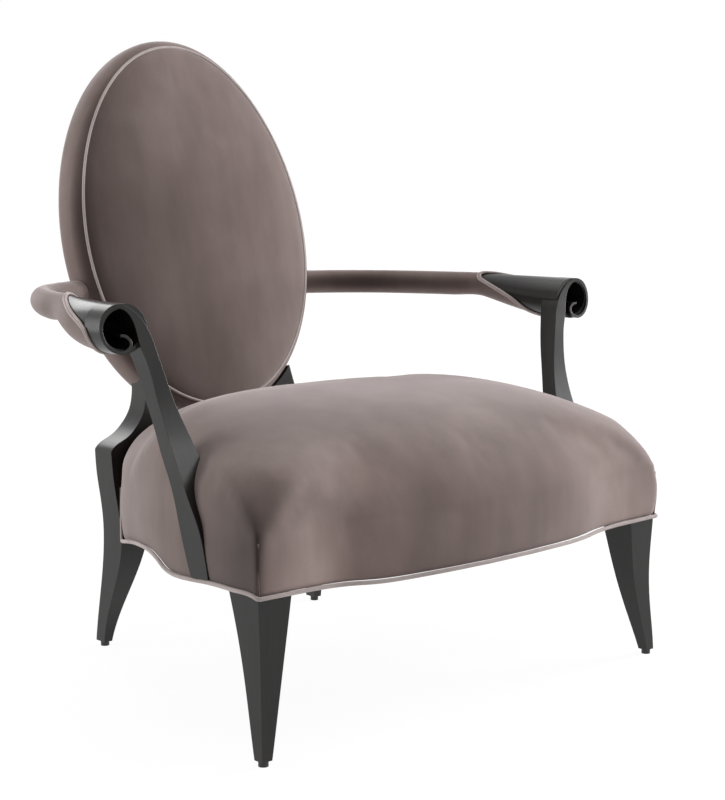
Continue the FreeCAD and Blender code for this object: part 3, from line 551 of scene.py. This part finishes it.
def seat_stretches(side, front, rear, rounding, bow, grow=0.0):
    """The outline's front, side and rear stretches on the left half, which meet inside the corners."""
    front_y = seat_front_y + front - grow
    rear_y = seat_rear_y - rear + grow
    half = seat_half_width - side + grow
    side_x = seat_side_x - side + grow
    bend_x = seat_bend_x + grow - side * (seat_bend_x / seat_side_x)
    rear_x = seat_rear_x + grow - side * (seat_rear_x / seat_side_x)
    corner = half * rounding
    near_y = front_y + corner
    stretch = (rear_y - near_y) / (seat_rear_y - seat_front_y)
    side_y = near_y + (seat_side_y - seat_front_y) * stretch
    bend_y = near_y + (seat_bend_y - seat_front_y) * stretch
    heel = rear_x * rounding
    turn = 1 - math.sqrt(0.5)
    lip = half - corner
    shares = np.linspace(0, 1, 60)
    bowed = values(bow_shares, shares)[:, 0]
    front_line = np.stack([shares * lip, front_y - bow * bowed], 1)
    front_arc = arc_through((lip, front_y), (half - corner * turn, front_y + corner * turn),
                            (half, near_y), arc_points)
    side_line = np.array([(half, near_y), (side_x, side_y)])
    side_arc = arc_through((side_x, side_y), (bend_x, bend_y), (rear_x, rear_y - heel), 80)
    rear_arc = arc_through((rear_x, rear_y - heel), (rear_x - heel * turn, rear_y - heel * turn),
                           (rear_x - heel, rear_y), arc_points)
    rear_line = np.array([(rear_x - heel, rear_y), (0, rear_y)])
    middle = arc_points // 2
    return (
        np.concatenate([front_line, front_arc[1:middle + 1]]),
        np.concatenate([front_arc[middle:], even(side_line, 30)[1:], side_arc[1:], rear_arc[1:middle + 1]]),
        np.concatenate([rear_arc[middle:], even(rear_line, 20)[1:]]),
    )


def apron_z(y):
    share = (np.asarray(y) - seat_front_y) / (seat_rear_y - seat_front_y)
    return apron_height - values(apron_shares, share)[..., 0] * apron_drop


def half_ring(stretches, ring):
    """4 * ring + 1 points from the middle of the front to the middle of the rear."""
    front, side, rear = stretches
    return np.concatenate([even(front, ring + 1), even(side, 2 * ring + 1)[1:], even(rear, ring + 1)[1:]])


def whole_ring(half):
    """The closed ring, from a half that runs from front to rear on the left."""
    other = half[1:-1][::-1] * np.array([-1] + [1] * (half.shape[1] - 1))
    return np.concatenate([half, other])


def seat_levels():
    """For each ring of the crown, from the shoulder to the last drawn-in one: stretches and height."""
    rise = crown_height - shoulder_height
    table = np.array(crown_shares)
    run = np.column_stack([table[:, 1] * side_run, table[:, 0] * rise])
    at = lengths(run)
    last_half = seat_half_width - table[-1, 1] * side_run
    total = at[-1] + last_half
    rings = {}
    for ring in range(seat_rings, 0, -1):
        gone = (1 - ring / seat_rings) * total
        if gone > at[-1]:
            break
        height, side, front, rear, rounding = values(np.column_stack([at, table]), [gone])[0]
        bow = seat_bow * (1 - height * crown_bow_share)
        stretches = seat_stretches(side * side_run, front * front_run, max(rear, 0) * rear_run, rounding,
                                   bow)
        rings[ring] = (stretches, shoulder_height + height * rise)
    return rings


def ring_place(index, ring):
    """Where a point of a half ring sits in the square grid, counted from its middle."""
    if index <= ring:
        return index, -ring
    if index <= 3 * ring:
        return ring, index - 2 * ring
    return 4 * ring - index, ring


def crown_grid():
    """A square grid of points over the crown, ring by ring, with a slightly domed middle."""
    size = 2 * seat_rings + 1
    grid = np.zeros((size, size, 3))
    rings = seat_levels()
    inner = min(rings)
    inner_half = half_ring(rings[inner][0], inner)
    centre_y = (inner_half[0, 1] + inner_half[-1, 1]) / 2
    for ring in range(seat_rings, -1, -1):
        if ring >= inner:
            stretches, height = rings[ring]
            half = half_ring(stretches, ring)
        else:
            share = ring / inner
            stretches = [(s - (0, centre_y)) * share + (0, centre_y) for s in rings[inner][0]]
            height = rings[inner][1] + cap_lift * (1 - share * share)
            half = half_ring(stretches, ring) if ring else np.array([(0, centre_y)])
        for index, (x, y) in enumerate(half):
            i, j = ring_place(index, ring)
            grid[seat_rings + i, seat_rings + j] = (x, y, height)
            grid[seat_rings - i, seat_rings + j] = (-x, y, height)
    return grid


def smooth_crown(grid):
    """Evens out the top of the crown, and then gives it its height back."""
    peak = grid[..., 2].max()
    for _ in range(crown_smoothing):
        inside = grid[1:-1, 1:-1]
        mean = (grid[2:, 1:-1] + grid[:-2, 1:-1] + grid[1:-1, 2:] + grid[1:-1, :-2]) / 4
        behind = np.clip((inside[..., 1] - smooth_behind_y) / smooth_behind_run, 0, 1)
        start = crown_height - smooth_depth - smooth_depth_behind * behind
        free = np.clip((inside[..., 2] - start) / smooth_fade, 0, 1)
        grid[1:-1, 1:-1] = inside + (mean - inside) * free[..., None]
    lost = peak - grid[..., 2].max()
    share = (grid[..., 2] - shoulder_height) / (peak - lost - shoulder_height)
    grid[..., 2] += lost * np.clip(share, 0, 1)


def wall_rows():
    """The rings of the side walls below the shoulder, the last two turned in as a hem."""
    rows = []
    for share, turned in [(share, 0.0) for share in wall_shares] + [(1.0, hem / 2), (1.0, hem)]:
        bulge = seat_bulge * math.sin(math.pi * share) ** 2 - pinch * share ** pinch_power
        rounding = shoulder_rounding + (corner_share - shoulder_rounding) * min(share * 3, 1)
        stretches = seat_stretches(0, 0, 0, rounding, seat_bow, bulge - turned)
        half = half_ring(stretches, seat_rings)
        low = apron_z(half[:, 1]) + turned / 3
        z = shoulder_height + (low - shoulder_height) * share
        rows.append(whole_ring(np.column_stack([half, z])))
    return rows


def seat_mesh():
    """A square grid over the crown, with the side walls hanging from its edge."""
    size = 2 * seat_rings + 1
    grid = crown_grid()
    smooth_crown(grid)
    points = grid.reshape(-1, 3)
    faces = grid_faces(size)
    border = [ring_place(index, seat_rings) for index in range(4 * seat_rings + 1)]
    border += [(-i, j) for i, j in border[1:-1][::-1]]
    above = [(seat_rings + i) * size + seat_rings + j for i, j in border]
    rows = wall_rows()
    count = len(points)
    columns = len(border)
    for row in range(len(rows)):
        here = [count + row * columns + c for c in range(columns)]
        for c in range(columns):
            n = (c + 1) % columns
            faces.append((above[c], here[c], here[n], above[n]))
        above = here
    return placed(np.concatenate([points] + rows)), faces


def stuff(piece, weights, pressure, cap, frames=20):
    """Blows the cover up a little as a cloth and applies the result; a weight of 1 holds a point."""
    start = np.array([v.co for v in piece.data.vertices])
    group = piece.vertex_groups.new(name="held")
    for index, weight in enumerate(weights):
        if weight > 0:
            group.add([index], float(weight), "REPLACE")
    cloth = piece.modifiers.new("cloth", "CLOTH")
    settings = cloth.settings
    settings.quality = 5
    settings.mass = 0.3
    settings.tension_stiffness = 25
    settings.compression_stiffness = 12
    settings.shear_stiffness = 8
    settings.bending_stiffness = 1.5
    settings.use_pressure = True
    settings.uniform_pressure_force = pressure
    settings.vertex_group_mass = "held"
    settings.pin_stiffness = 1.0
    settings.effector_weights.gravity = 0
    scene = bpy.context.scene
    cloth.point_cache.frame_start = 1
    cloth.point_cache.frame_end = frames
    for step in range(1, frames + 1):
        scene.frame_set(step)
    shaped = piece.evaluated_get(bpy.context.evaluated_depsgraph_get())
    end = np.array([v.co for v in shaped.data.vertices])
    piece.modifiers.remove(cloth)
    scene.frame_set(1)
    move = end - start
    size = np.linalg.norm(move, axis=1)
    move *= np.minimum(1, cap / np.maximum(size, 1e-9))[:, None]
    move *= (1 - np.asarray(weights))[:, None]
    print("stuffed", piece.name, "moved up to", round(float(size.max()) * 1000, 1), "mm")
    piece.data.vertices.foreach_set("co", (start + move).ravel())
    piece.data.update()


def subdivide(piece, levels=1):
    modifier = piece.modifiers.new("smooth", "SUBSURF")
    modifier.levels = levels
    modifier.render_levels = levels
    shaped = piece.evaluated_get(bpy.context.evaluated_depsgraph_get())
    mesh = bpy.data.meshes.new_from_object(shaped)
    piece.modifiers.remove(modifier)
    piece.data = mesh
    mesh.polygons.foreach_set("use_smooth", [True] * len(mesh.polygons))


def make_seat():
    points, faces = seat_mesh()
    seat = make_piece("seat_upholstery", points, faces, VELVET,
                      ("seat_cover", "seat_foam", "seat_edge_pads", "seat_webbing", "seat_hessian"))
    height = points[:, 2]
    held = np.clip((seat_hold_height - height) / seat_hold_fade, 0, 1)
    behind = np.clip((points[:, 1] - shift_y - seat_hold_y) / seat_hold_run, 0, 1)
    stuff(seat, np.maximum(held, behind), seat_pressure, seat_swell)
    subdivide(seat)


def lower_edge(grow):
    """The line of the lower edge, all round, moved out by grow."""
    stretches = seat_stretches(0, 0, 0, corner_share, seat_bow, grow)
    half = even(np.concatenate([stretches[0], stretches[1][1:], stretches[2][1:]]), 420)
    return np.column_stack([half, apron_z(half[:, 1])])


def make_seat_piping():
    """The cord along the lower edge, between the rear legs and beside them."""
    half = lower_edge(piping_radius * piping_reach)
    along_side = half[half[:, 1] < leg_front_y - 0.001]
    front_line = np.concatenate([(along_side[1:] * (-1, 1, 1))[::-1], along_side])
    behind = half[(half[:, 0] < leg_inner_x + 0.003) & (half[:, 1] > leg_front_y)]
    rear_line = np.concatenate([behind, (behind[:-1] * (-1, 1, 1))[::-1]])
    cords = [tube(placed(front_line), piping_radius), tube(placed(rear_line), piping_radius)]
    side_line = seat_stretches(0, 0, 0, corner_share, seat_bow, seat_bulge)[1]
    heights = np.linspace(float(apron_z(leg_front_y)), side_piping_top, 24)
    edge = values(leg_edge, heights)[:, 0] - side_piping_radius
    beside_leg = np.column_stack([np.interp(edge, side_line[:, 1], side_line[:, 0]), edge, heights])
    cords += [tube(placed(beside_leg * (side, 1, 1)), side_piping_radius) for side in (1, -1)]
    points, faces = joined(cords)
    make_piece("seat_piping", points, faces, PIPING_PAINTED_SHEEN, ("seat_welt",))


def make_corner_seams():
    """The thin raised seam on each front corner of the seat."""
    corner = seat_stretches(0, 0, 0, corner_share, seat_bow, 0)[0][-1]
    rise = np.linspace(float(apron_z(corner[1])), corner_seam_top, 16)
    share = (rise - rise[0]) / (corner_seam_top - rise[0])
    swell = seat_bulge * np.sin(math.pi * share) ** 2 * math.sqrt(0.5) - corner_seam_sunk
    seam = np.column_stack([corner[0] + swell, corner[1] - swell, rise])
    seams = [tube(placed(seam * (side, 1, 1)), corner_seam_radius, 8) for side in (1, -1)]
    points, faces = joined(seams)
    make_piece("seat_corner_seams", points, faces, VELVET)


# Back

def oval(angle, grow, depth, scale=1.0):
    """Points of the oval, in its tilted frame."""
    x = (back_half_width + grow) * scale * np.cos(angle) * (1 + back_egg * np.sin(angle))
    rise = (back_half_height + grow) * scale * np.sin(angle)
    y = back_y + rise * math.sin(back_tilt) + depth * math.cos(back_tilt)
    z = back_height + rise * math.cos(back_tilt) - depth * math.sin(back_tilt)
    return np.stack([x, y, z], -1)


def dome_mesh(base_depth, dome, way):
    """A crowned oval; way is -1 at the front and 1 behind. Its edge tucks in behind the piping."""
    size = 2 * back_rings + 1
    middle = back_rings
    grid = np.zeros((size, size, 3))
    for ring in range(back_rings + 1):
        share = 1 - (1 - ring / back_rings) ** dome_spacing
        rise = dome * (1 - share ** dome_powers[0]) ** dome_powers[1] if share < 1 else 0
        steps = max(8 * ring, 1)
        for index in range(steps):
            angle = 2 * math.pi * index / steps - 0.75 * math.pi
            side, along_side = divmod(index, 2 * ring) if ring else (0, 0)
            i, j = ((along_side - ring, -ring), (ring, along_side - ring), (ring - along_side, ring),
                    (-ring, ring - along_side))[side] if ring else (0, 0)
            grid[middle + i, middle + j] = oval(angle, 0.0, base_depth + way * rise, share)
    faces = grid_faces(size) if way < 0 else turned_over(grid_faces(size))
    return placed(grid.reshape(-1, 3)), faces


def make_back_front():
    points, faces = dome_mesh(0.0, back_dome, -1)
    pad = make_piece("back_front_pad", points, faces, VELVET,
                     ("back_front_cover", "back_foam", "back_webbing"))
    flat = points - placed([[0, back_y, back_height]])
    rise = (flat[:, 1] * math.sin(back_tilt) + flat[:, 2] * math.cos(back_tilt)) / back_half_height
    reach = np.hypot(flat[:, 0] / back_half_width, rise)
    held = np.clip((reach - back_hold_share) / back_hold_run, 0, 1)
    stuff(pad, held, back_pressure, back_swell)
    subdivide(pad)


def make_back_rear():
    points, faces = dome_mesh(back_depth, back_rear_dome, 1)
    pad = make_piece("back_outside", points, faces, VELVET,
                     ("back_outside_cover", "back_rear_pad", "back_panel"))
    subdivide(pad)


def make_back_band():
    """The bulging band round the oval, from the front piping to the rear one."""
    angles = np.arange(band_columns) * 2 * math.pi / band_columns
    power, root = band_powers
    last = band_rows - 1
    lines = []
    for row in range(band_rows):
        share = (1 - math.cos(math.pi * row / last)) / 2
        bulge = back_bulge * (1 - abs(2 * share - 1) ** power) ** root if 0 < row < last else 0
        lines.append(oval(angles, bulge, share * back_depth))
    points = placed(np.concatenate(lines))
    faces = turned_over(strip_faces(band_rows, band_columns, True))
    band = make_piece("back_side_band", points, faces, VELVET,
                      ("back_band", "back_edge_pads"))
    subdivide(band)


def make_back_piping():
    angles = np.arange(400) * 2 * math.pi / 400
    for name, depth, replaced in (("back_front_piping", -back_piping_gap, "back_front_welt"),
                                  ("back_rear_piping", back_depth + back_piping_gap, "back_rear_welt")):
        line = placed(oval(angles, back_piping_grow, depth))
        points, faces = tube(line, back_piping_radius, closed=True)
        make_piece(name, points, faces, PIPING_PAINTED_SHEEN, (replaced,))


# Arms

def arm_stations():
    """Middle line and radii of the arm: x, y, z, half width, half height."""
    rows = [(x, y, arm_top - arm_radius, arm_radius, arm_radius) for x, y in arm_path]
    end_x = scroll_x + scroll_radius - scroll_radius * roll_stretch
    for y, growth in arm_growth:
        x = arm_path[-1][0] + growth * (end_x - arm_path[-1][0])
        z = arm_top - arm_radius + growth * (scroll_z - arm_top + arm_radius)
        wide = arm_radius + growth * (scroll_radius * roll_stretch - arm_radius)
        high = arm_radius + growth * (scroll_radius - arm_radius)
        rows.append((x, y, z, wide, high))
    rows = np.array(rows)
    table = np.column_stack([lengths(rows[:, :3]), rows])
    return values(table, np.linspace(0, table[-1, 0], 260))


def arm_lines(grow=0.0):
    """Lines along the arm, one for each angle round it: an array of angle, station and place."""
    stations = arm_stations()
    ahead = np.gradient(stations[:, :2], axis=0)
    ahead /= np.linalg.norm(ahead, axis=1)[:, None]
    outward = np.stack([ahead[:, 1], -ahead[:, 0]], 1) * -1
    lines = []
    for turn in np.arange(arm_sides) * 2 * math.pi / arm_sides:
        wide = (stations[:, 3] + grow) * math.cos(turn)
        high = (stations[:, 4] + grow) * math.sin(turn)
        lines.append(np.column_stack([stations[:, :2] + outward * wide[:, None], stations[:, 2] + high]))
    return np.array(lines)


def joint_side(points):
    """How far points are in front of the slanted joint (negative) or behind it."""
    top, outer, tip = np.array(joint_points)
    normal = np.cross(outer - top, tip - top)
    normal /= np.linalg.norm(normal)
    if normal[1] < 0:
        normal = -normal
    return (points - top) @ normal


def cut_line(line, gap, turn=None):
    """The line from its start to the slanted joint, or with a turn to the cloth's edge on the wood."""
    side = joint_side(line)
    if turn is not None:
        around = [(turn - lap_step) % 360, turn, (turn + lap_step) % 360]
        before, lap, after = values(joint_laps, around)[:, 0]
        slope = (after - before) / (math.radians(2 * lap_step) * scroll_radius)
        side = np.maximum(side, (line[:, 1] - lap) / math.sqrt(1 + slope * slope))
    side = side - gap
    index = int(np.argmax(side < 0))
    share = side[index - 1] / (side[index - 1] - side[index])
    end = line[index - 1] + share * (line[index] - line[index - 1])
    return np.concatenate([line[:index], [end]])


def make_arm(side):
    """The padded arm, whose cloth turns under on the wood, and the two cords along that edge."""
    name = "left" if side > 0 else "right"
    turns = np.arange(arm_sides) * 360.0 / arm_sides
    pad_lines = [cut_line(line, arm_gap, turn) for line, turn in zip(arm_lines(arm_cloth), turns)]
    rows = np.array([even(line, arm_rows) for line in pad_lines]).transpose(1, 0, 2)
    hidden = arm_lines(-arm_tuck)
    under = np.array([cut_line(line, arm_tuck_gap, turn)[-1] for line, turn in zip(hidden, turns)])
    ends = np.array([cut_line(line, arm_gap)[-1] for line in hidden])
    centre = ends.mean(axis=0)
    tucked = [under, ends, ends + (centre - ends) * arm_end_share]
    points = np.concatenate([rows.reshape(-1, 3)] + tucked)
    count = arm_rows + len(tucked)
    faces = strip_faces(count, arm_sides, True)
    faces.append(tuple(reversed(range((count - 1) * arm_sides, count * arm_sides))))
    if side < 0:
        faces = turned_over(faces)
    pad = make_piece("arm_pad_" + name, placed(points * (side, 1, 1)), faces, VELVET,
                     ("arm_cover_" + name, "arm_foam_" + name))
    subdivide(pad)
    cords = []
    lines = arm_lines(arm_cord_lift)
    for gap in arm_cord_gaps:
        ring = np.array([cut_line(line, gap, turn)[-1] for line, turn in zip(lines, turns)])
        ring = even(np.concatenate([ring, ring[:1]]), arm_cord_points + 1)[:-1]
        cords.append(tube(placed(ring * (side, 1, 1)), arm_cord_radius, 10, True))
    points, faces = joined(cords)
    make_piece("arm_piping_" + name, points, faces, PIPING_PAINTED_SHEEN, ("arm_welt_" + name,))


# Lining under the seat

def make_lining():
    """The dark cloth under the frame, stretched from rail to rail."""
    stretches = seat_stretches(0, 0, 0, corner_share, seat_bow, -lining_inset)
    outline = np.concatenate([stretches[0], stretches[1][1:], stretches[2][1:]])
    front, rear = outline[:, 1].min() + lining_front_gap, outline[:, 1].max() - lining_rear_gap
    sides = outline[outline[:, 0] > 0.2]
    sides = sides[np.argsort(sides[:, 1])]
    points = []
    for y in np.linspace(front, rear, lining_cells):
        reach = np.interp(y, sides[:, 1], sides[:, 0])
        for x in np.linspace(-reach, reach, lining_cells):
            points.append((x, y, float(apron_z(y)) + lining_lift))
    points = np.array(points)
    faces = turned_over(strip_faces(lining_cells, lining_cells, False))
    lining = make_piece("underside_lining", placed(points), faces, LINING, ("dust_cover",))


# Stage

def area_lamp(name, place, target, size, power, colour):
    light = bpy.data.lights.new(name, "AREA")
    light.shape = "RECTANGLE"
    light.size, light.size_y = size
    light.energy = power
    light.color = colour
    lamp = bpy.data.objects.new(name, light)
    lamp.location = place
    lamp.rotation_euler = (Vector(target) - Vector(place)).to_track_quat("-Z", "Y").to_euler()
    bpy.context.collection.objects.link(lamp)


def seen_directly(tree):
    """1 for what the camera, a mirror or glass sees straight, else 0."""
    path = tree.nodes.new("ShaderNodeLightPath")
    first = maths(tree, "MAXIMUM", path.outputs["Is Camera Ray"], path.outputs["Is Transmission Ray"])
    return maths(tree, "MAXIMUM", first.outputs[0], path.outputs["Is Glossy Ray"]).outputs[0]


def blended(tree, factor, first, second, target):
    """Mixes two shaders into an output."""
    blend = tree.nodes.new("ShaderNodeMixShader")
    for socket, value in zip(blend.inputs, (factor, first.outputs[0], second.outputs[0])):
        tree.links.new(value, socket)
    tree.links.new(blend.outputs[0], target.inputs["Surface"])


def make_floor():
    """A pale floor that catches the chair's soft shadow and is plain white further off."""
    mesh = bpy.data.meshes.new("floor")
    corners = [(x * floor_reach, y * floor_reach, 0) for x, y in ((-1, -1), (1, -1), (1, 1), (-1, 1))]
    mesh.from_pydata(corners, [], [(0, 1, 2, 3)])
    floor = bpy.data.objects.new("floor", mesh)
    bpy.context.collection.objects.link(floor)
    material, tree, shader = nodes_of("pale_floor")
    tint = noise(tree, stretched(tree), 6.0)
    tree.links.new(ramp(tree, tint, ((0.3, grey(0.86)), (0.7, grey(0.88)))), shader.inputs["Base Color"])
    shader.inputs["Roughness"].default_value = 0.9
    shader.inputs["Specular IOR Level"].default_value = 0.1
    glow = add(tree, "ShaderNodeEmission", Strength=floor_glow)
    place = tree.nodes.new("ShaderNodeTexCoord")
    away = maths(tree, "LENGTH", place.outputs["Object"], kind="ShaderNodeVectorMath")
    fade = add(tree, "ShaderNodeMapRange", From_Min=floor_fade[0], From_Max=floor_fade[1],
               To_Min=floor_shares[0], To_Max=floor_shares[1])
    tree.links.new(away.outputs["Value"], fade.inputs["Value"])
    share = maths(tree, "MULTIPLY", seen_directly(tree), fade.outputs[0])
    blended(tree, share.outputs[0], shader, glow, tree.nodes["Material Output"])
    mesh.materials.append(material)


def make_world():
    """White where it is seen directly, and a softer light on the chair."""
    world = bpy.data.worlds.new("studio")
    bpy.context.scene.world = world
    world.use_nodes = True
    tree = world.node_tree
    tree.nodes.clear()
    white = (1.0, 1.0, 1.0, 1.0)
    soft = add(tree, "ShaderNodeBackground", Color=white, Strength=soft_light)
    backdrop = add(tree, "ShaderNodeBackground", Color=white, Strength=1.0)
    output = tree.nodes.new("ShaderNodeOutputWorld")
    blended(tree, seen_directly(tree), soft, backdrop, output)


def make_camera():
    data = bpy.data.cameras.new("camera")
    data.sensor_width = 36.0
    data.lens = camera_lens
    camera = bpy.data.objects.new("camera", data)
    camera.location = placed(camera_place)
    level = math.cos(camera_dip)
    way = Vector((math.sin(camera_heading) * level, math.cos(camera_heading) * level,
                  -math.sin(camera_dip)))
    camera.rotation_euler = way.to_track_quat("-Z", "Y").to_euler()
    bpy.context.collection.objects.link(camera)
    bpy.context.scene.camera = camera


def dress_nodes():
    """Gives each CAD node its material, and changes nothing else on it."""
    finishes = {name: material for material, names in node_finishes for name in names}
    for name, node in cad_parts.items():
        material = finishes.get(name, RAW_WOOD)
        if not node.material_slots:
            node.data.materials.append(material)
        for place in node.material_slots:
            place.material = material


make_camera()
make_floor()
make_world()
for lamp in lamps:
    area_lamp(*lamp)
dress_nodes()
make_seat()
make_seat_piping()
make_corner_seams()
make_back_front()
make_back_rear()
make_back_band()
make_back_piping()
for side in (1, -1):
    make_arm(side)
make_lining()

bpy.context.scene.view_settings.view_transform = "Standard"
